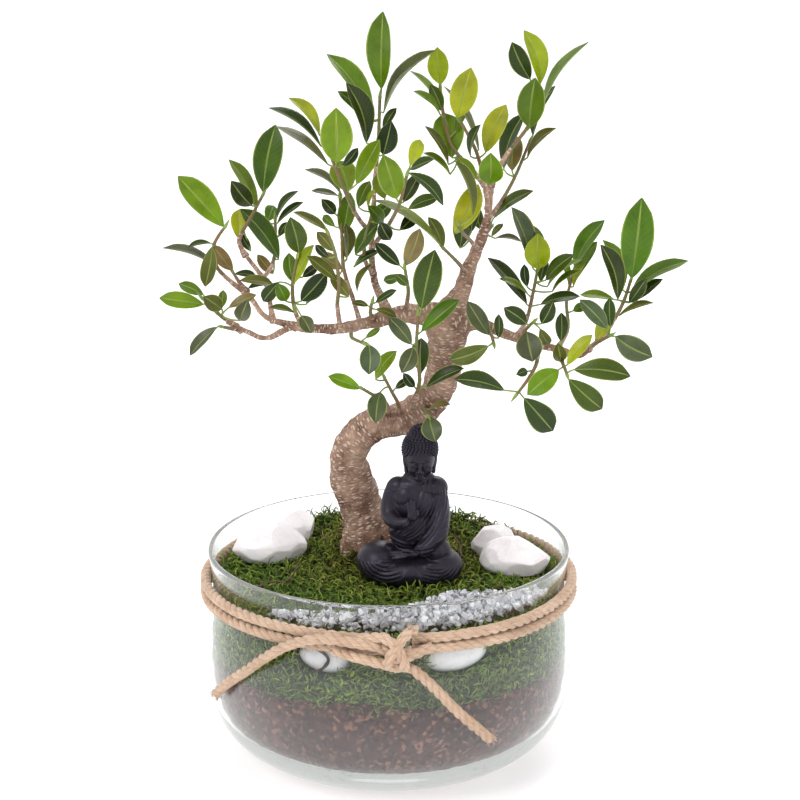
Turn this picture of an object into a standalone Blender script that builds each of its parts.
# A small fig tree grown as a bonsai in a clear glass bowl, with moss, stones, a seated figurine and jute rope.
# Metres, Z up. The bowl's flat base is centred on the origin and the front, with the knot, faces -Y.

import math
import random

import bpy
from mathutils import Matrix, Vector
from mathutils.bvhtree import BVHTree

mm = 0.001
gap = 0.3                     # mm left between pieces that touch
roundSides = 40               # facets round the bowl and what fills it

# Bowl, in mm: outer outline as (radius, height) from the base up, and its walls.
bowlHeight = 134.0
bowlOutline = [(66, 0), (80, 3), (92, 9), (102, 18), (109, 30), (113.5, 46), (115, 65), (114.6, 82),
               (112.5, 94), (110.3, 103), (109.7, 110), (110.2, 118), (111.5, 127), (112.3, 132)]
baseThickness = 8.0
bowlLining = [(60, 8), (78, 9.5), (89, 13.5), (98, 20.5), (105.8, 31), (110.4, 46), (112, 65), (111.6, 82),
              (109.5, 94), (107.3, 103), (106.7, 110), (107.2, 118), (108.5, 127), (109.3, 132)]

# Filling, in mm.
soilTop = 68.0
mossTop = 115.0
trunkSocket = dict(x=-9.5, y=29.0, radius=19.0)
moundHeight = 15.0            # of the moss round the trunk
moundReach = 27.0

# Where the viewer of the front elevation stands, in mm. The tree is laid out as it looks from there.
viewer = Vector((7.0, -1500.0, 649.0))

# Wood, in mm: (across, height, depth, radius) in front elevation. Depth is positive behind the bowl's axis.
trunkLine = [(-10, 130, 27, 15), (-14, 149, 27, 14), (-19, 165, 26, 13.5), (-23.5, 181, 25, 12.5),
             (-24, 192, 24, 11.5), (-18, 203, 22, 11), (-7, 211, 20, 10.8), (8, 215, 18, 10.5),
             (22, 223, 16, 10), (31, 234, 14, 9.5), (34.5, 249, 12, 10), (35, 262, 10, 11.5),
             (36, 275, 8, 13), (40, 286, 8, 8.5), (45, 296, 10, 5.8), (48, 308, 12, 5), (52, 318, 14, 3.8),
             (56, 328, 15, 3.2), (60, 343, 16, 2.3), (61, 361, 17, 1.7)]
branchLines = {
    "left": [(34, 278, 8, 8), (22, 281, 3, 6.5), (8, 281, -2, 5.6), (-8, 277, -6, 4), (-29, 272, -10, 3.4),
             (-47, 272, -12, 2.8), (-59, 273, -14, 2.4), (-74, 266, -18, 1.7), (-86, 270, -24, 1.5),
             (-98, 276, -32, 1.3)],
    "leftUpper": [(-56, 273, -13, 2.1), (-74, 279, -4, 1.7), (-82, 289, 0, 1.5), (-87, 296, 0, 1.3)],
    "leftBack": [(-70, 276, -6, 1.6), (-74, 300, 12, 1.4), (-79, 308, 22, 1.3), (-88, 320, 30, 1.1)],
    "leader": [(0, 281, 0, 3), (-4, 291, 2, 2.4), (-8, 300, 4, 2.1), (-10, 314, 6, 1.9), (-10, 333, 8, 1.7),
               (-9, 350, 9, 1.5)],
    "right": [(38, 276, 4, 7), (55, 275, -4, 4), (73, 268, -12, 2.8), (90, 262, -18, 2.2),
              (104, 259, -22, 1.9), (116, 255, -24, 1.6), (125, 262, -22, 1.5), (134, 270, -18, 1.3)],
}

# Leafy shoots, in mm. path: where the shoot leaves the wood and how it runs, as (across, height, depth).
# leaves: (base across, base height, tip across, tip height, seen width).
shoots = {
    "left_low": dict(path=[(-92, 273, -28), (-102, 280, -38), (-112, 290, -44)], leaves=[
        (-112, 287, -139, 291, 10), (-112, 293, -127, 300, 7), (-101, 284, -112, 292, 10),
        (-101, 285, -100, 296, 5.5), (-90, 277, -85, 290, 10), (-97, 285, -80, 293, 6)]),
    "left_hanging": dict(path=[(-90, 271, -25), (-96, 272, -36), (-101, 273, -46)], leaves=[
        (-104, 273, -121, 255, 7)]),
    "left_mid": dict(path=[(-86, 294, 0), (-95, 301, -6), (-104, 311, -12), (-105, 324, -14), (-99, 334, -14)],
                     leaves=[(-104, 311, -136, 322, 5), (-107, 325, -121, 322, 3.5),
        (-106, 323, -111, 298, 9.5),
                             (-99, 335, -126, 366, 15.5)]),
    "left_tan": dict(path=[(-86, 295, 0), (-91, 302, 9), (-94, 307, 16)], leaves=[
        (-94, 308, -106, 324, 9), (-93, 306, -80, 305, 4.5), (-90, 302, -70, 300, 6), (-85, 297, -73, 300, 4)]),
    "left_upper": dict(path=[(-86, 317, 28), (-90, 327, 34), (-83, 340, 38), (-76, 353, 38)], leaves=[
        (-90, 327, -89, 346, 10), (-79, 346, -95, 376, 8.5), (-82, 348, -94, 363, 12),
        (-75, 356, -67, 397, 18), (-83, 320, -89, 331, 5.5)]),
    "left_inner": dict(path=[(-76, 303, 18), (-70, 312, 40), (-68, 325, 55), (-68, 338, 60)], leaves=[
        (-66, 315, -89, 346, 13), (-73, 338, -69, 348, 9), (-70, 306, -79, 318, 7), (-67, 341, -54, 357, 4.5),
        (-67, 337, -51, 350, 4.5), (-66, 329, -61, 338, 5)]),
    "left_front": dict(path=[(-52, 272, -13), (-57, 284, -24), (-58, 299, -34), (-55, 316, -38)], leaves=[
        (-57, 300, -45, 324, 7.5), (-58, 301, -60, 319, 8.5), (-53, 289, -37, 307, 12),
        (-50, 287, -37, 301, 5.5),
        (-62, 289, -67, 300, 8.5), (-57, 282, -72, 285, 4), (-54, 319, -59, 341, 13),
        (-66, 301, -76, 289, 9), (-53, 280, -47, 269, 9), (-52, 304, -43, 311, 6)]),
    "left_rising": dict(path=[(-29, 272, -10), (-31, 286, -34), (-30, 300, -50), (-32, 318, -56),
        (-36, 330, -58)],
                        leaves=[(-31, 302, -49, 317, 7.5), (-28, 309, -40, 318, 9), (-33, 320, -43, 332, 7.5),
                                (-36, 332, -57, 344, 5), (-24, 292, -35, 306, 8), (-36, 316, -44, 324, 5)]),
    "left_flaky": dict(path=[(-17, 275, -8), (-22, 292, 10), (-27, 309, 22), (-28, 330, 30), (-29, 352, 32)],
                       leaves=[(-25, 315, -22, 333, 5), (-28, 330, -23, 356, 11), (-32, 343, -40, 352, 7.5),
                               (-32, 335, -39, 342, 5.5), (-28, 355, -50, 370, 4.5),
        (-30, 354, -46, 357, 4), (-25, 316, -26, 337, 7)]),
    "leader_low": dict(path=[(-9, 306, 5), (-14, 314, -8), (-14, 328, -14), (-9, 345, -12)], leaves=[
        (-20, 318, -6, 337, 9), (-10, 312, -19, 295, 4), (-3, 338, -12, 348, 8.5),
        (-18, 347, -11, 363, 8), (-12, 346, -8, 358, 3), (-21, 310, -5, 320, 5), (-12, 336, 2, 349, 9),
        (-2, 352, -7, 367, 9)]),
    "leader_front": dict(path=[(-10, 330, 8), (-19, 342, -18), (-26, 357, -42), (-32, 372, -52),
        (-37, 386, -54)],
                         leaves=[(-31, 374, -31, 407, 19), (-24, 356, -30, 375, 16), (-19, 361, -5, 388, 11),
                                 (-36, 373, -67, 396, 5.5), (-40, 384, -71, 407, 5),
        (-41, 391, -59, 413, 7), (-27, 372, -18, 383, 6)]),
    "leader_top": dict(path=[(-9, 344, 9), (-8, 364, 12), (-6, 385, 14), (-5, 412, 16)], leaves=[
        (-4, 418, -3, 464, 15), (-10, 399, -36, 439, 12), (-13, 386, -25, 422, 12), (-14, 400, -30, 417, 7),
        (-3, 404, 28, 441, 5), (-3, 394, 5, 407, 5.5), (-3, 379, 2, 399, 13)]),
    "leader_right": dict(path=[(-10, 322, 7), (0, 336, -28), (7, 350, -56), (11, 366, -68)], leaves=[
        (5, 352, -3, 379, 15), (13, 372, 19, 388, 8.5), (13, 370, 27, 376, 5.5), (12, 368, 33, 348, 7.5),
        (9, 350, 19, 368, 8), (12, 346, 30, 353, 7.5), (1, 327, -5, 338, 9), (7, 333, 16, 343, 8)]),
    "branch_top": dict(path=[(10, 281, -2), (12, 294, -26), (11, 303, -38), (10, 309, -42)], leaves=[
        (10, 311, 19, 334, 11), (8, 305, -3, 302, 6), (12, 299, 4, 306, 6), (7, 311, -8, 325, 8)]),
    "trunk_arch": dict(path=[(48, 306, 12), (41, 314, -8), (34, 321, -20)], leaves=[
        (33, 322, -8, 351, 5), (33, 322, 24, 341, 7.5)]),
    "top_left": dict(path=[(61, 355, 17), (50, 370, 34), (38, 384, 44), (33, 402, 48), (31, 418, 48)], leaves=[
        (31, 421, 29, 443, 13), (38, 377, 33, 404, 19), (36, 373, 22, 396, 5), (32, 405, 13, 429, 4),
        (31, 403, 15, 417, 4), (40, 393, 46, 403, 4.5), (37, 367, 21, 380, 4), (32, 405, 25, 421, 8)]),
    "top_mid": dict(path=[(60, 346, 16), (57, 364, -2), (52, 382, -10), (43, 399, -12)], leaves=[
        (41, 401, 49, 431, 16), (54, 382, 33, 420, 4), (49, 378, 55, 397, 5), (58, 380, 70, 409, 13),
        (60, 361, 61, 380, 15), (53, 364, 41, 377, 7)]),
    "top_back": dict(path=[(59, 338, 15), (68, 351, 46), (76, 366, 64), (84, 386, 72)], leaves=[
        (69, 370, 81, 404, 10), (74, 369, 75, 391, 13), (83, 377, 100, 395, 5.5), (86, 390, 99, 420, 8)]),
    "top_right": dict(path=[(61, 360, 17), (70, 378, 24), (82, 394, 28), (89, 407, 30), (87, 418, 30)], leaves=[
        (84, 424, 73, 446, 12), (90, 421, 80, 453, 11.5), (84, 395, 87, 425, 17), (91, 407, 118, 446, 5)]),
    "mid_fan": dict(path=[(53, 321, 14), (50, 326, -12), (45, 331, -34), (42, 336, -44)], leaves=[
        (51, 342, 40, 375, 6), (40, 331, 54, 361, 14.5), (50, 332, 54, 349, 7), (43, 322, 44, 342, 12)]),
    "mid_right": dict(path=[(56, 328, 15), (59, 331, 34), (62, 335, 46)], leaves=[
        (63, 340, 87, 357, 7), (62, 329, 69, 337, 4), (64, 328, 80, 326, 3.5), (56, 333, 52, 348, 8)]),
    "bend_rise": dict(path=[(14, 219, 17), (16, 227, -6), (19, 240, -20), (17, 258, -26),
        (18, 280, -28)], leaves=[
        (20, 284, 28, 321, 17), (20, 270, 43, 290, 10), (23, 235, 46, 247, 7.5), (20, 244, 20, 266, 11.5),
        (15, 260, 8, 244, 11), (14, 262, 0, 279, 10), (16, 235, 9, 244, 6)]),
    "bend_small": dict(path=[(7, 215, 18), (6, 224, -4), (2, 232, -16), (-2, 240, -20)], leaves=[
        (-8, 240, 5, 258, 8.5), (4, 234, 12, 240, 5), (-5, 232, -8, 212, 12)]),
    "bend_left": dict(path=[(0, 213, 19), (-1, 224, 0), (-8, 229, -24), (-16, 234, -36)], leaves=[
        (-17, 234, -37, 242, 8), (-10, 231, -2, 225, 5)]),
    "bend_right": dict(path=[(20, 221, 16), (22, 221, -2), (24, 217, -10)], leaves=[
        (25, 216, 29, 200, 13), (25, 221, 38, 224, 4)]),
    "branch_hanging": dict(path=[(-23, 273, -9), (-22, 266, -24), (-16, 263, -30)], leaves=[
        (-12, 262, -12, 243, 13), (-14, 266, -5, 272, 4)]),
    "branch_fan": dict(path=[(-9, 277, -6), (-11, 282, -20), (-10, 288, -26)], leaves=[
        (-8, 288, 5, 296, 4.5), (-8, 284, 5, 279, 5), (-12, 286, -22, 288, 4)]),
    "right_start": dict(path=[(60, 273, -6), (63, 267, -22), (64, 263, -28)], leaves=[
        (61, 268, 48, 289, 11), (61, 261, 37, 252, 11), (67, 266, 67, 281, 6)]),
    "right_fork": dict(path=[(92, 262, -18), (90, 249, -42), (84, 238, -54), (79, 231, -56)], leaves=[
        (71, 233, 40, 240, 10.5), (83, 228, 101, 207, 16), (85, 245, 78, 243, 5.5)]),
    "right_tall": dict(path=[(78, 267, -14), (84, 278, 4), (87, 291, 14), (90, 308, 18)], leaves=[
        (87, 310, 74, 347, 10.5), (93, 312, 85, 337, 3.5), (91, 309, 90, 331, 16), (84, 287, 60, 316, 8.5),
        (85, 293, 67, 303, 4), (92, 287, 116, 292, 7), (95, 302, 112, 318, 9), (84, 298, 82, 312, 6),
        (92, 301, 96, 315, 6), (96, 298, 117, 315, 4), (99, 295, 116, 308, 3.5)]),
    "right_young": dict(path=[(103, 259, -22), (109, 272, 16), (108, 289, 42), (111, 304, 52)], leaves=[
        (109, 300, 103, 316, 4.5), (112, 298, 119, 313, 4.5), (112, 310, 130, 339, 10.5),
        (113, 302, 126, 326, 9), (112, 283, 122, 287, 6)]),
    "right_tip": dict(path=[(130, 266, -20), (138, 279, -12), (143, 290, -8), (146, 300, -6)], leaves=[
        (139, 290, 128, 324, 11), (142, 296, 129, 327, 8.5), (147, 303, 152, 353, 22),
        (147, 295, 181, 314, 8.5),
        (140, 280, 161, 288, 4), (137, 290, 116, 293, 5.5), (146, 288, 156, 303, 8), (150, 289, 166, 303, 6)]),
    "right_mid": dict(path=[(122, 259, -22), (127, 263, -40), (134, 267, -48)], leaves=[
        (133, 272, 116, 290, 10), (135, 273, 134, 291, 7.5), (138, 267, 161, 254, 14.5),
        (126, 265, 132, 277, 8.5)]),
    "right_low": dict(path=[(108, 257, -22), (106, 252, -48), (108, 246, -68), (109, 243, -74)], leaves=[
        (104, 246, 85, 230, 13.5), (110, 240, 131, 221, 14), (113, 246, 148, 242, 13), (109, 249, 124, 268, 8),
        (105, 251, 103, 263, 8.5), (105, 264, 105, 282, 8)]),
    "right_inner": dict(path=[(80, 266, -15), (84, 272, -36), (88, 276, -44)], leaves=[
        (84, 275, 70, 285, 10), (84, 270, 88, 251, 16), (93, 275, 100, 289, 9), (92, 272, 98, 262, 7)]),
}
bareShare = 0.4               # share of a shoot's path that is woody and belongs to the trunk's solid
twigRadius = (1.5, 0.9)       # mm, where a shoot starts and ends
petioleRadius = 0.5           # mm
straightEnough = 0.4          # cosine of the bend up to which petiole and blade are one bar
leafThickness = 0.7           # mm at the midrib
leafOutline = [(0.0, 0.08), (0.32, 0.74), (0.7, 0.92)]  # (share of length, share of half width)
leafSlenderness = 0.42        # a leaf's real width over its length, where it is seen on edge
widestLeaf = 20.0             # mm
leafDepthLimit = 15.0         # mm, how far a leaf leans towards or away from the viewer at first
farthestLean = 26.0           # mm, and at most

# Rope, in mm.
ropeDiameter = 6.5
ropeTurns = (107.4, 114.5)    # heights of the two turns
ropeRing = 114.2              # radius of a turn's centreline
knotCentre = (8.0, -121.4, 112.0)
knotSize = (8.0, 7.0, 12.5)   # half sizes
leftTail = [(-4.5, -123.6, 113.5), (-15, -122.6, 114.5), (-38, -115.6, 115), (-56, -108, 109),
            (-70, -98.6, 98.5), (-85, -84.2, 82.5), (-97, -69.6, 69), (-105, -56.6, 57)]
rightTail = [(12.5, -121.5, 100), (19, -119.6, 94), (29.5, -115.8, 82), (40, -112, 69), (52, -106.8, 56),
             (60, -101.6, 46.5)]

# Loose pieces, in mm: centre (x, y), half sizes, turn in degrees.
stoneFlat = 0.62              # a stone stands on a flat this share of its half height below its middle
stones = {
    "stone_left_front": dict(at=(-76, 27), half=(24, 17, 14.5), turn=8, seed=3),
    "stone_left_back": dict(at=(-62, 63), half=(17, 13, 13), turn=-24, seed=8),
    "stone_right_front": dict(at=(79, 3), half=(22, 15, 13.5), turn=-12, seed=5),
    "stone_right_back": dict(at=(66, 36), half=(15, 13, 12), turn=20, seed=11),
}
pebbles = {
    "pebble_front_left": dict(angle=-112.0, height=95.0, half=(16.5, 7.5, 9.5), tilt=4.0, inset=3.4),
    "pebble_front_right": dict(angle=-66.5, height=97.0, half=(20.0, 7.5, 10.0), tilt=-5.0, inset=1.4),
}
barkStrip = dict(angles=(-114.5, -110.5, -109.0, -110.5, -113.5, -117.5), heights=(103, 100, 96, 91.5, 88.5, 87),
                 inset=1.7, thickness=0.9)
dryTwigs = {
    "dry_twig_left": [(-82, -38, 118), (-70, -34, 121), (-60, -33, 119)],
    "dry_twig_left_mid": [(-62, -24, 118), (-57, -20, 124), (-55, -17, 129)],
    "dry_twig_right": [(46, 20, 118), (44, 34, 123), (38, 42, 128)],
    "dry_twig_far_right": [(88, 40, 118), (80, 48, 124), (74, 52, 130)],
}
chipBed = dict(start=-132.0, end=-22.0, inner=78.0, outer=104.5, heap=24.0, heapAt=0.72, heapSpread=0.2,
               height=6.0, thinEdge=1.5, steps=22)

# Seated figurine, in mm from its own foot centre: solids that are cast as one, as (centre, half sizes).
figurineAt = (13.0, -12.0)
figurineSolids = {
    "seat": ((0, 0, 10), (30, 19, 11)),
    "kneeRight": ((-19, -4, 13), (14, 15, 13)),
    "kneeLeft": ((20, -4, 10), (13, 15, 10.5)),
    "shins": ((0, -13, 8), (24, 9, 8.5)),
    "waist": ((2, 3, 32), (15.5, 12, 18)),
    "chest": ((2.5, 2, 50), (15.5, 10.5, 15)),
    "shoulders": ((4.5, 3, 59.5), (17, 8.5, 7)),
    "neck": ((6, 1, 67), (5.5, 5.5, 8)),
    "head": ((6.2, -2, 77), (9.2, 10.5, 12.6)),
    "hair": ((6.2, 0, 83), (10.6, 11.3, 12.5)),
    "topKnot": ((6.6, 0, 92), (7.2, 7.2, 9)),
    "raisedHand": ((1.5, -14.5, 47), (3.6, 2.6, 8)),
    "restingHand": ((0, -15, 21), (7, 5, 3.2)),
}
figurineArms = {
    "armRight": [(-8.5, 3, 60, 6), (-11.5, 2, 51, 5.6), (-12.4, -2, 42.5, 5.4), (-8, -10, 39.5, 4.2),
                 (0, -14, 41.5, 3)],
    "armLeft": [(14.5, 3, 59, 6.6), (17.5, 2, 49, 6.8), (17.5, -2, 38, 7.2), (14, -8, 28, 7.2), (6, -14, 22, 4.5)],
}


def clearScene():
    for thing in list(bpy.data.objects):
        bpy.data.objects.remove(thing, do_unlink=True)


def finish(name, colour, roughness, metallic=0.0, transmission=0.0):
    made = bpy.data.materials.new(name)
    made.use_nodes = True
    surface = made.node_tree.nodes["Principled BSDF"]
    surface.inputs["Base Color"].default_value = (*colour, 1.0)
    surface.inputs["Roughness"].default_value = roughness
    surface.inputs["Metallic"].default_value = metallic
    surface.inputs["Transmission Weight"].default_value = transmission
    made.diffuse_color = (*colour, 1.0)
    return made


def addMesh(name, points, faces, material, smooth=True):
    # points are in mm
    mesh = bpy.data.meshes.new(name)
    mesh.from_pydata([Vector(point) * mm for point in points], [], faces)
    mesh.validate()
    thing = bpy.data.objects.new(name, mesh)
    bpy.context.scene.collection.objects.link(thing)
    if material:
        mesh.materials.append(material)
    if smooth:
        mesh.shade_smooth()
        mesh.set_sharp_from_angle(angle=math.radians(40))
    return thing


def addCutter(name, points, faces):
    cutter = addMesh(name, points, faces, None, smooth=False)
    cutter.hide_render = True
    cutter.display_type = "WIRE"
    return cutter


def combine(thing, other, operation):
    step = thing.modifiers.new(operation.title() + " " + other.name, "BOOLEAN")
    step.operation = operation
    step.solver = "EXACT"
    step.object = other


def lathe(outline, sides=roundSides):
    # a closed solid of revolution from (radius, height) points that run up the outside and end on the axis
    points = []
    faces = []
    rings = []
    for radius, height in outline:
        if radius == 0:
            rings.append([len(points)])
            points.append((0.0, 0.0, height))
            continue
        rings.append(list(range(len(points), len(points) + sides)))
        for side in range(sides):
            angle = 2 * math.pi * side / sides
            points.append((radius * math.cos(angle), radius * math.sin(angle), height))
    for low, high in zip(rings, rings[1:]):
        for side in range(sides):
            other = (side + 1) % sides
            if len(low) == 1:
                faces.append((low[0], high[other], high[side]))
            elif len(high) == 1:
                faces.append((low[side], low[other], high[0]))
            else:
                faces.append((low[side], low[other], high[other], high[side]))
    return points, faces


def smoothLine(points, spacing):
    # a Catmull-Rom curve through the points, read about every spacing; extra values such as a radius go along
    rows = [tuple(float(value) for value in point) for point in points]
    rows = [tuple(2 * a - b for a, b in zip(rows[0], rows[1]))] + rows
    rows = rows + [tuple(2 * a - b for a, b in zip(rows[-1], rows[-2]))]
    line = []
    for before, start, end, after in zip(rows, rows[1:], rows[2:], rows[3:]):
        length = math.dist(start[:3], end[:3])
        steps = max(1, round(length / spacing))
        for step in range(steps):
            t = step / steps
            line.append(tuple(
                0.5 * (2 * b + (c - a) * t + (2 * a - 5 * b + 4 * c - d) * t * t + (3 * b - a - 3 * c + d) * t ** 3)
                for a, b, c, d in zip(before, start, end, after)))
    line.append(rows[-2])
    return line


def directions(line):
    centres = [Vector(point[:3]) for point in line]
    found = []
    for index in range(len(centres)):
        ahead = centres[min(index + 1, len(centres) - 1)]
        behind = centres[max(index - 1, 0)]
        found.append((ahead - behind).normalized())
    return centres, found


def tube(line, radii, sides):
    # a closed round bar along the line; its rings follow it without twisting
    centres, along = directions(line)
    side = along[0].orthogonal().normalized()
    points = []
    faces = []
    for index, (centre, forward) in enumerate(zip(centres, along)):
        side = (side - forward * side.dot(forward)).normalized()
        up = forward.cross(side)
        for step in range(sides):
            angle = 2 * math.pi * step / sides
            points.append(centre + (side * math.cos(angle) + up * math.sin(angle)) * radii[index])
    for ring in range(len(centres) - 1):
        for step in range(sides):
            other = (step + 1) % sides
            faces.append((ring * sides + step, ring * sides + other,
                          (ring + 1) * sides + other, (ring + 1) * sides + step))
    faces.append(tuple(reversed(range(sides))))
    faces.append(tuple(range((len(centres) - 1) * sides, len(centres) * sides)))
    return points, faces


def ball(centre, half, columns=10, rows=6, lowest=None):
    # an ellipsoid; lowest cuts it off flat at that height
    points = [(centre[0], centre[1], centre[2] - half[2])]
    for row in range(1, rows):
        polar = math.pi * row / rows
        for column in range(columns):
            angle = 2 * math.pi * column / columns
            points.append((centre[0] + half[0] * math.sin(polar) * math.cos(angle),
                           centre[1] + half[1] * math.sin(polar) * math.sin(angle),
                           centre[2] - half[2] * math.cos(polar)))
    points.append((centre[0], centre[1], centre[2] + half[2]))
    if lowest is not None:
        points = [(x, y, max(z, lowest)) for x, y, z in points]
    faces = []
    for column in range(columns):
        other = (column + 1) % columns
        faces.append((0, 1 + other, 1 + column))
        for row in range(rows - 2):
            first = 1 + row * columns
            faces.append((first + column, first + other, first + columns + other, first + columns + column))
        last = 1 + (rows - 2) * columns
        faces.append((last + column, last + other, len(points) - 1))
    return points, faces


def seen(across, height, depth):
    # the point at this depth that the viewer sees at (across, height) in the plane through the bowl's axis
    target = Vector((across, 0.0, height))
    share = (depth - viewer.y) / (target.y - viewer.y)
    return viewer + (target - viewer) * share


def toSpace(line):
    return [(*seen(*point[:3]), *point[3:]) for point in line]


# ---- bowl and filling

def liningRadius(height):
    for (low, lowHeight), (high, highHeight) in zip(bowlLining, bowlLining[1:]):
        if lowHeight <= height <= highHeight:
            return low + (high - low) * (height - lowHeight) / (highHeight - lowHeight)
    return bowlLining[-1][0]


def makeBowl():
    rimMiddle = (bowlOutline[-1][0] + bowlLining[-1][0]) / 2
    lip = [(rimMiddle + 1.0, bowlHeight), (rimMiddle - 1.0, bowlHeight)]
    outline = [(0, 0)] + bowlOutline + lip + list(reversed(bowlLining)) + [(0, baseThickness)]
    points, faces = lathe(outline)
    return addMesh("glass_bowl", points, faces, finish("clear_glass", (0.93, 0.97, 0.96), 0.03, transmission=1.0))


def makeSoil():
    outline = [(0, baseThickness + gap)]
    for radius, height in bowlLining:
        if height < soilTop:
            outline.append((radius - gap - 0.1, height + gap))
    outline.append((liningRadius(soilTop) - gap - 0.2, soilTop))
    outline.append((0, soilTop))
    points, faces = lathe(outline)
    return addMesh("soil", points, faces, finish("dark_soil", (0.09, 0.045, 0.03), 0.95))


def mossHeight(x, y):
    # flat where things stand, with a mound round the trunk that runs to the back left
    fromTrunk = math.hypot(x + 14, y - 40)
    mound = moundHeight * math.exp(-(fromTrunk / moundReach) ** 4)
    return mossTop + mound


def makeMoss():
    low = soilTop + gap
    heights = [low, 74, 82, 94, 103, 108]
    outline = [(0, low)] + [(liningRadius(height) - gap - 0.2, height) for height in heights]
    outline.append((liningRadius(mossTop - 2) - gap - 0.2, mossTop - 2))
    rings = [(liningRadius(mossTop) - 2.5, mossTop)]
    rings += [(radius, mossTop) for radius in (90, 76, 62, 48, 36, 24, 12)]
    rings.append((0, mossTop))
    points, faces = lathe(outline + rings)
    for index, (x, y, z) in enumerate(points):
        if z >= mossTop:
            points[index] = (x, y, mossHeight(x, y))
    return addMesh("moss_bed", points, faces, finish("moss_green", (0.12, 0.26, 0.04), 0.95))


def onWall(angle, radius, height):
    turn = math.radians(angle)
    return Vector((radius * math.cos(turn), radius * math.sin(turn), height))


def pebbleShape(values, pocket=False):
    half = list(values["half"])
    if pocket:
        # open towards the glass, so that the stone shows through it
        half = [half[0] + gap, half[1] + values["inset"] + 1.5, half[2] + gap]
    points, faces = ball((0, 0, 0), half, columns=12, rows=7)
    radius = liningRadius(values["height"]) - values["half"][1] - values["inset"]
    spot = onWall(values["angle"], radius, values["height"])
    pose = Matrix.Translation(spot) @ Matrix.Rotation(math.radians(values["angle"] + 90), 4, "Z")
    pose = pose @ Matrix.Rotation(math.radians(values["tilt"]), 4, "Y")
    return [pose @ Vector(point) for point in points], faces


def makePebbles(moss):
    white = finish("white_pebble", (0.86, 0.86, 0.88), 0.35)
    for name, values in pebbles.items():
        addMesh(name, *pebbleShape(values), white)
        combine(moss, addCutter(name + "_pocket", *pebbleShape(values, pocket=True)), "DIFFERENCE")


def makeBarkStrip(moss):
    line = [onWall(angle, liningRadius(height) - barkStrip["inset"], height)
            for angle, height in zip(barkStrip["angles"], barkStrip["heights"])]
    line = smoothLine(line, 4.0)
    half = [barkStrip["thickness"]] * len(line)
    addMesh("bark_strip", *tube(line, half, 6), finish("dark_bark", (0.07, 0.04, 0.03), 0.9))
    longer = [line[0]] + line + [line[-1]]
    longer[0] = Vector(line[0]) + (Vector(line[0]) - Vector(line[1])).normalized()
    longer[-1] = Vector(line[-1]) + (Vector(line[-1]) - Vector(line[-2])).normalized()
    pocket = addCutter("bark_pocket", *tube(longer, [barkStrip["thickness"] + gap] * len(longer), 6))
    combine(moss, pocket, "DIFFERENCE")


def makeSocket(moss):
    # the hole in the moss that the foot of the trunk fills
    points, faces = lathe([(0, soilTop - 2), (trunkSocket["radius"] + gap, soilTop - 2),
                           (trunkSocket["radius"] + gap, 150), (0, 150)], sides=16)
    moved = [(x + trunkSocket["x"], y + trunkSocket["y"], z) for x, y, z in points]
    combine(moss, addCutter("trunk_socket", moved, faces), "DIFFERENCE")


def makeChipBed():
    # crushed glass in a crescent against the front wall, deepest at the right front
    sections = chipBed["steps"]
    points = []
    for step in range(sections + 1):
        share = step / sections
        angle = chipBed["start"] + (chipBed["end"] - chipBed["start"]) * share
        swell = math.sin(math.pi * share) ** 0.6
        heap = chipBed["heap"] * math.exp(-((share - chipBed["heapAt"]) / chipBed["heapSpread"]) ** 2)
        widest = chipBed["outer"] - 2 * chipBed["thinEdge"]
        inner = widest - (widest - chipBed["inner"]) * swell - heap
        height = chipBed["thinEdge"] + (chipBed["height"] - chipBed["thinEdge"]) * swell
        floor = mossTop + gap
        points.append(onWall(angle, chipBed["outer"], floor))
        points.append(onWall(angle, chipBed["outer"], floor + height))
        points.append(onWall(angle, (inner + chipBed["outer"]) / 2, floor + height + chipBed["thinEdge"] * math.sin(9 * share)))
        points.append(onWall(angle, inner, floor))
    faces = [(0, 3, 2, 1)]
    for step in range(sections):
        for side in range(4):
            first = step * 4 + side
            other = step * 4 + (side + 1) % 4
            faces.append((first, other, other + 4, first + 4))
    last = sections * 4
    faces.append((last, last + 1, last + 2, last + 3))
    flipped = [tuple(reversed(face)) for face in faces]
    return addMesh("glass_chips", points, flipped, finish("chip_glass", (0.8, 0.88, 0.9), 0.08, transmission=0.8))


def makeStones():
    quartz = finish("pale_quartz", (0.87, 0.82, 0.83), 0.4)
    for name, values in stones.items():
        rng = random.Random(values["seed"])
        floor = mossTop + gap
        half = values["half"]
        points, faces = ball((0, 0, 0), half, columns=12, rows=8, lowest=-half[2] * stoneFlat)
        bumps = [(Vector((rng.uniform(-1, 1), rng.uniform(-1, 1), rng.uniform(-0.3, 1))).normalized(),
                  rng.uniform(0.78, 0.93)) for _ in range(9)]
        shaped = []
        turn = math.radians(values["turn"])
        for point in points:
            unit = Vector((point[0] / half[0], point[1] / half[1], point[2] / half[2]))
            for facing, reach in bumps:
                over = unit.dot(facing) - reach
                if over > 0:
                    unit -= facing * over * 0.9
            x, y, z = unit.x * half[0], unit.y * half[1], max(unit.z, -stoneFlat) * half[2]
            shaped.append((values["at"][0] + x * math.cos(turn) - y * math.sin(turn),
                           values["at"][1] + x * math.sin(turn) + y * math.cos(turn),
                           floor + z + stoneFlat * half[2]))
        addMesh(name, shaped, faces, quartz)


def makeDryTwigs():
    brown = finish("dry_twig", (0.11, 0.06, 0.04), 0.9)
    for name, line in dryTwigs.items():
        smooth = smoothLine(line, 5.0)
        radii = [0.8 - 0.4 * index / (len(smooth) - 1) for index in range(len(smooth))]
        addMesh(name, *tube(smooth, radii, 5), brown)


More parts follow.
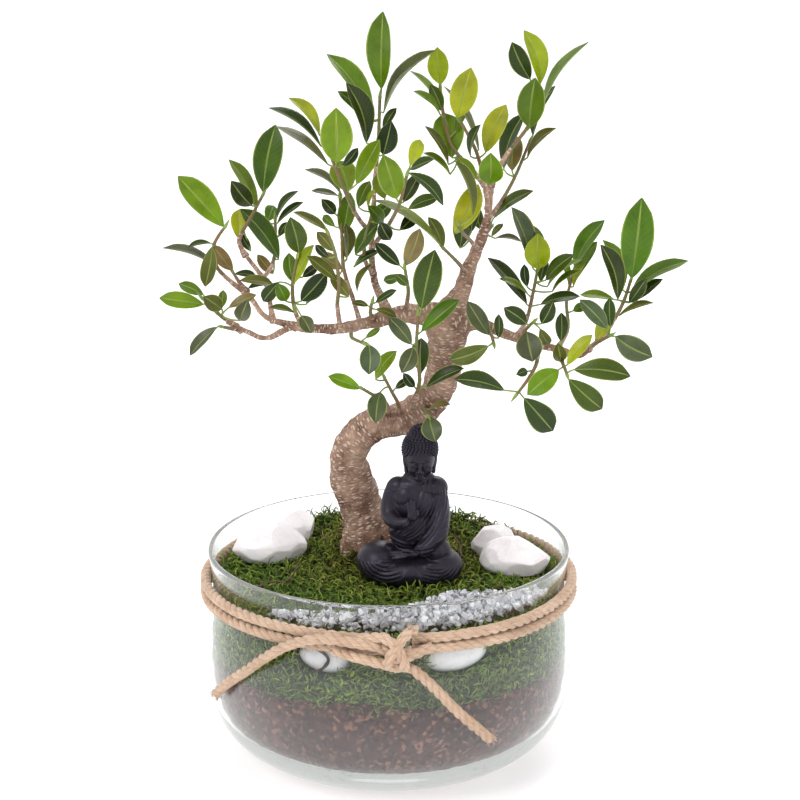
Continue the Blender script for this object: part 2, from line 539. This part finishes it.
def makeFigurine():
    resin = finish("charcoal_resin", (0.03, 0.028, 0.035), 0.42)
    foot = Vector((figurineAt[0], figurineAt[1], mossTop + gap))
    whole = None
    for name, (centre, half) in figurineSolids.items():
        points, faces = ball(centre, half, lowest=0.0)
        moved = [foot + Vector(point) for point in points]
        if whole is None:
            whole = addMesh("seated_figurine", moved, faces, resin)
        else:
            combine(whole, addCutter("figurine_" + name, moved, faces), "UNION")
    for name, line in figurineArms.items():
        smooth = smoothLine(line, 6.0)
        points, faces = tube(smooth, [point[3] for point in smooth], 8)
        combine(whole, addCutter("figurine_" + name, [foot + Vector(point) for point in points], faces), "UNION")
    return whole


# ---- rope

def makeRope():
    jute = finish("jute_rope", (0.66, 0.47, 0.33), 0.9)
    knotAngle = math.degrees(math.atan2(knotCentre[1], knotCentre[0]))
    halfGap = 5.0                                          # degrees either side of the knot
    for name, height in zip(("rope_turn_lower", "rope_turn_upper"), ropeTurns):
        steps = 54
        line = []
        for step in range(steps + 1):
            angle = knotAngle + halfGap + (360 - 2 * halfGap) * step / steps
            line.append(onWall(angle, ropeRing, height))
        addCord(name, line, jute)
    points, faces = ball(knotCentre, knotSize, columns=12, rows=8)
    addMesh("rope_knot", points, faces, jute)
    addCord("rope_tail_left", smoothLine(leftTail, ropeDiameter * 2), jute)
    addCord("rope_tail_right", smoothLine(rightTail, ropeDiameter * 2), jute)


def addCord(name, line, material):
    curve = bpy.data.curves.new(name, "CURVE")
    curve.dimensions = "3D"
    curve.bevel_depth = ropeDiameter / 2 * mm
    curve.bevel_resolution = 2
    curve.use_fill_caps = True
    curve.render_resolution_u = 0
    spline = curve.splines.new("POLY")
    spline.points.add(len(line) - 1)
    for point, place in zip(spline.points, line):
        point.co = (*(Vector(place[:3]) * mm), 1.0)
    curve.materials.append(material)
    cord = bpy.data.objects.new(name, curve)
    bpy.context.scene.collection.objects.link(cord)
    return cord


# ---- tree

def splitPath(values):
    # the shoot's path in space, split where the wood ends and the young stem starts
    line = smoothLine(toSpace(values["path"]), 6.0)
    centres = [Vector(point) for point in line]
    total = sum((b - a).length for a, b in zip(centres, centres[1:]))
    wood = [centres[0]]
    run = 0.0
    for index in range(1, len(centres)):
        step = (centres[index] - centres[index - 1]).length
        if run + step > total * bareShare:
            forward = (centres[index] - centres[index - 1]).normalized()
            cut = centres[index - 1] + forward * (total * bareShare - run)
            wood.append(cut)
            young = [cut + forward * gap] + centres[index:]
            if (young[1] - young[0]).length < 1.5:
                young.pop(1)
            if (wood[-1] - wood[-2]).length < 1.0:
                wood.pop(-2)
            return wood, young
        run += step
        wood.append(centres[index])
    return wood, centres[-2:]


def taper(line, start, end):
    return [start + (end - start) * index / max(1, len(line) - 1) for index in range(len(line))]


def makeTrunk(woods):
    bark = finish("fig_bark", (0.36, 0.2, 0.13), 0.85)
    line = smoothLine(toSpace(trunkLine), 9.0)
    foot = (trunkSocket["x"], trunkSocket["y"])
    base = [(*foot, soilTop + gap, 17.5), (*foot, 95.0, 17.5), (*foot, 118.0, 16.5)]
    line = base + line
    trunk = addMesh("trunk", *tube(line, [point[3] for point in line], 10), bark)
    for name, points in branchLines.items():
        branch = smoothLine(toSpace(points), 9.0)
        sides = 8 if points[0][3] > 4 else 6
        shape = tube(branch, [point[3] for point in branch], sides)
        combine(trunk, addCutter("branch_" + name, *shape), "UNION")
    middle = sum(twigRadius) / 2
    for name, wood in woods.items():
        shape = tube(wood, taper(wood, twigRadius[0], middle), 5)
        combine(trunk, addCutter("twig_" + name, *shape), "UNION")
    return trunk


def leafFrame(base, tip, seenWidth):
    # which way the blade faces and how wide it really is, when it is seen this wide from the front
    along = (tip - base).normalized()
    toViewer = (viewer - base).normalized()
    facing = (toViewer - along * toViewer.dot(along)).normalized()
    across = facing.cross(along)
    length = (tip - base).length
    width = min(widestLeaf, max(seenWidth, leafSlenderness * length))
    roll = math.acos(min(1.0, seenWidth / width))
    turned = facing * math.cos(roll) + across * math.sin(roll)
    other = facing * math.cos(roll) - across * math.sin(roll)
    if other.z > turned.z:
        turned = other
    return along, turned, width


def leafRings(base, tip, seenWidth, thickness):
    along, facing, width = leafFrame(base, tip, seenWidth)
    across = facing.cross(along)
    length = (tip - base).length
    rings = []
    for share, wide in leafOutline:
        arch = 0.07 * length * math.sin(math.pi * share)
        centre = base + (tip - base) * share + facing * arch
        half = max(petioleRadius, width / 2 * wide)
        thick = max(petioleRadius, thickness / 2) if share == 0 else thickness / 2
        rings.append([centre + across * half, centre + facing * thick,
                      centre - across * half, centre - facing * thick])
    return rings


class Leaf:
    # one leaf of a shoot; depth values move it towards or away from the viewer until it is clear of the others
    def __init__(self, young, row, index):
        baseAcross, baseHeight, tipAcross, tipHeight, self.seenWidth = row
        spots = [((seen(baseAcross, baseHeight, point.y) - point).length, number)
                 for number, point in enumerate(young)]
        joint = min(spots[1:])[1]
        self.root = young[joint].lerp(young[joint - 1], 0.15)
        self.baseSeen = (baseAcross, baseHeight)
        self.tipSeen = (tipAcross, tipHeight)
        self.depth = self.root.y
        drawn = math.dist(self.baseSeen, self.tipSeen)
        likely = 2.1 * self.seenWidth
        lean = math.sqrt(max(0.0, likely ** 2 - drawn ** 2))
        lean = min(leafDepthLimit, max(lean, 0.12 * drawn))
        self.lean = lean if index % 2 else -lean
        self.young = young

    def ends(self):
        base = seen(*self.baseSeen, self.depth + 0.25 * self.lean)
        tip = seen(*self.tipSeen, self.depth + self.lean)
        return base, tip

    def middle(self):
        base, tip = self.ends()
        return (base.y + tip.y) / 2

    def hull(self, thickness):
        # the blade and its petiole as a closed solid
        base, tip = self.ends()
        start = self.root
        rings = leafRings(base, tip, self.seenWidth, thickness)
        along = (base - start)
        if along.length > 3.0:
            thin = [start + along * 0.3 + (point - base) for point in rings[0]]
            rings = [thin] + rings
        return rings, tip

    def solids(self):
        # closed solids that make up the leaf: the blade runs on into its petiole, or meets it at a bend
        base, tip = self.ends()
        start = self.root
        stalk = base - start
        blade = leafRings(base, tip, self.seenWidth, leafThickness)
        if stalk.length < 2 * petioleRadius:
            return [closedBlade([[start + point - base for point in blade[0]]] + blade[1:], tip)]
        if stalk.normalized().dot((tip - base).normalized()) > straightEnough:
            return [closedBlade([[start + point - base for point in blade[0]]] + blade, tip)]
        beyond = base + stalk.normalized() * petioleRadius
        return [tube([start, beyond], [petioleRadius] * 2, 4), closedBlade(blade, tip)]

    def tree(self):
        rings, tip = self.hull(leafThickness + 1.2)
        points, faces = closedBlade(rings, tip + (tip - rings[-1][0]).normalized() * 0.5)
        return BVHTree.FromPolygons(points, faces), boundsOf(points)


def closedBlade(rings, tip):
    return [point for ring in rings for point in ring] + [tip], ringFaces(len(rings))


def ringFaces(count):
    faces = [(3, 2, 1, 0)]
    for ring in range(count - 1):
        for side in range(4):
            other = (side + 1) % 4
            faces.append((ring * 4 + side, ring * 4 + other, ring * 4 + 4 + other, ring * 4 + 4 + side))
    for side in range(4):
        faces.append(((count - 1) * 4 + side, (count - 1) * 4 + (side + 1) % 4, count * 4))
    return faces


def boundsOf(points):
    low = Vector([min(point[axis] for point in points) for axis in range(3)])
    high = Vector([max(point[axis] for point in points) for axis in range(3)])
    return low, high


def near(one, other):
    return all(one[0][axis] <= other[1][axis] and other[0][axis] <= one[1][axis] for axis in range(3))


def settleLeaves(leaves, obstacles, passes=150, nudge=1.2):
    # leaves that cross lean apart, and a leaf that crosses wood leans away from it
    solids = [leaf.tree() for leaf in leaves]
    for _ in range(passes):
        push = {}
        for index, (tree, box) in enumerate(solids):
            middle = leaves[index].middle()
            for other in range(index + 1, len(leaves)):
                if near(box, solids[other][1]) and tree.overlap(solids[other][0]):
                    side = nudge if middle >= leaves[other].middle() else -nudge
                    push.setdefault(index, []).append(side)
                    push.setdefault(other, []).append(-side)
            for blockTree, blockBox, owner in obstacles:
                if owner is not leaves[index].young and near(box, blockBox) and tree.overlap(blockTree):
                    blockMiddle = (blockBox[0].y + blockBox[1].y) / 2
                    push.setdefault(index, []).append(nudge if middle >= blockMiddle else -nudge)
        if not push:
            return
        for index, sides in push.items():
            amount = sum(sides) or sides[0]
            leaves[index].lean += max(-2 * nudge, min(2 * nudge, amount))
            if abs(leaves[index].lean) > farthestLean:
                leaves[index].lean *= -0.5
            solids[index] = leaves[index].tree()


def growShoot(name, young, leaves, material):
    # the young stem with its leaves grown onto it
    stem = addMesh("shoot_" + name, *tube(young, taper(young, sum(twigRadius) / 2, twigRadius[1]), 5), material,
                   smooth=False)
    for number, leaf in enumerate(leaves):
        for part, solid in enumerate(leaf.solids()):
            combine(stem, addCutter(f"leaf_{name}_{number}_{part}", *solid), "UNION")
    return stem


def makeTree():
    woods = {}
    stems = {}
    leaves = {}
    for name, values in shoots.items():
        woods[name], stems[name] = splitPath(values)
        leaves[name] = [Leaf(stems[name], row, index) for index, row in enumerate(values["leaves"])]
    obstacles = []
    for name, stem in stems.items():
        shape = tube(stem, taper(stem, 1.5, 1.2), 5)
        obstacles.append((BVHTree.FromPolygons(*shape), boundsOf(shape[0]), stem))
    for name, wood in woods.items():
        shape = tube(wood, taper(wood, 1.9, 1.6), 5)
        obstacles.append((BVHTree.FromPolygons(*shape), boundsOf(shape[0]), None))
    for points in [trunkLine] + list(branchLines.values()):
        line = smoothLine(toSpace(points), 9.0)
        for start, end in zip(line, line[1:]):
            shape = tube([start, end], [start[3] + 0.8, end[3] + 0.8], 8)
            obstacles.append((BVHTree.FromPolygons(*shape), boundsOf(shape[0]), None))
    everyLeaf = [leaf for group in leaves.values() for leaf in group]
    settleLeaves(everyLeaf, obstacles)
    makeTrunk(woods)
    green = finish("fig_leaf", (0.09, 0.24, 0.03), 0.35)
    for name, stem in stems.items():
        growShoot(name, stem, leaves[name], green)


def main():
    clearScene()
    makeBowl()
    makeSoil()
    moss = makeMoss()
    makeSocket(moss)
    makePebbles(moss)
    makeBarkStrip(moss)
    makeChipBed()
    makeStones()
    makeDryTwigs()
    makeFigurine()
    makeRope()
    makeTree()


main()
